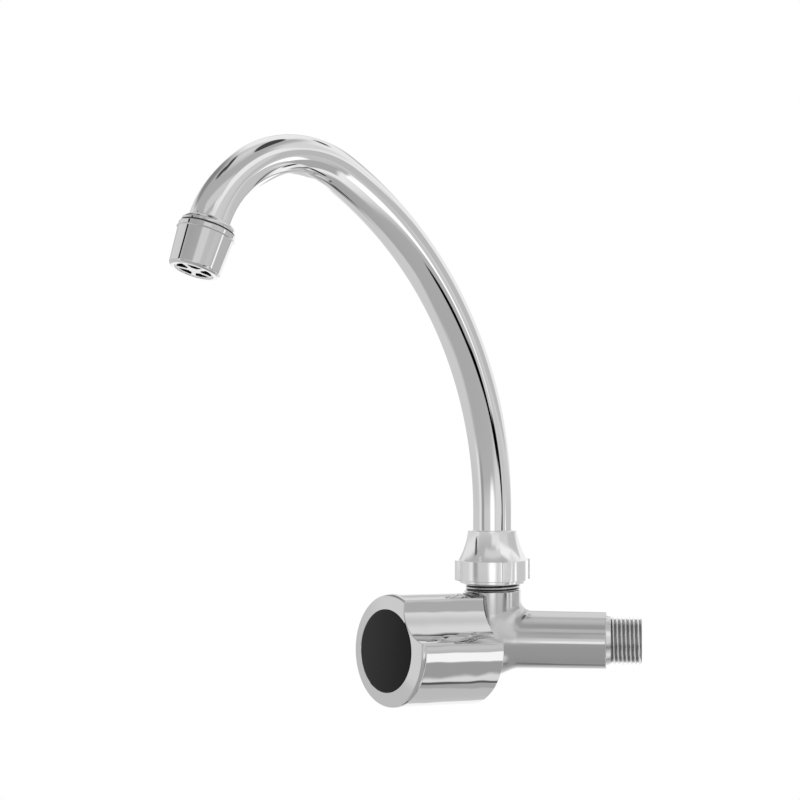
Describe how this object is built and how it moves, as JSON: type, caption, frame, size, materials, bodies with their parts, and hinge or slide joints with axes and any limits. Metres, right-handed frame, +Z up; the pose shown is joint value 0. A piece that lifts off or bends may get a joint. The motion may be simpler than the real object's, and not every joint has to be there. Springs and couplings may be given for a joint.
{
  "type": "kitchen faucet",
  "caption": "Wall-mounted single kitchen tap with a threaded horizontal inlet, a swinging gooseneck spout and a quarter-turn round knob.",
  "frame": {"origin": "centre of the inlet thread's free end face", "axes": "+Y along the inlet into the wall, +Z up, the knob and spout on the -Y side"},
  "size_m": [0.1359, 0.1855, 0.2421],
  "materials": {
    "chrome": "bright polished chrome plating",
    "brass": "machined, bare",
    "rubber": "matt",
    "ceramic": "lapped alumina, plain white",
    "slip_plastic": "natural acetal",
    "black_gloss": "glossy black",
    "white_plastic": "white moulded plastic",
    "steel": "stainless"
  },
  "bodies": {
    "tap": {"body": "chrome", "swivel_nut": "chrome", "neck_slip_ring": "slip_plastic", "nut_slip_ring": "slip_plastic", "cartridge_body": "brass", "cartridge_gasket": "rubber", "seat_seal": "rubber", "fixed_disc": "ceramic"},
    "handle": {"knob_shell": "chrome", "knob_hub": "slip_plastic", "knob_cap": "black_gloss", "knob_screw": "steel", "spindle": "brass", "spindle_orings": "rubber", "thrust_washer": "slip_plastic", "spindle_circlip": "steel", "moving_disc": "ceramic"},
    "spout": {"spout_tube": "chrome", "spout_foot": "chrome", "spout_orings": "rubber", "tip_ring": "chrome", "aerator_housing": "chrome", "aerator_washer": "rubber", "aerator_screen": "steel", "aerator_insert": "white_plastic"}
  },
  "joints": [
    {"name": "knob_turn", "type": "hinge", "parent": "tap", "child": "handle", "pos_m": [0, -0.0658, -0.0037], "axis": [0.7061, -0.7061, 0.0523], "range_deg": [0, 90]},
    {"name": "spout_swivel", "type": "hinge", "parent": "tap", "child": "spout", "pos_m": [0, -0.0658, 0.034], "axis": [0, 0, 1], "continuous": true}
  ]
}
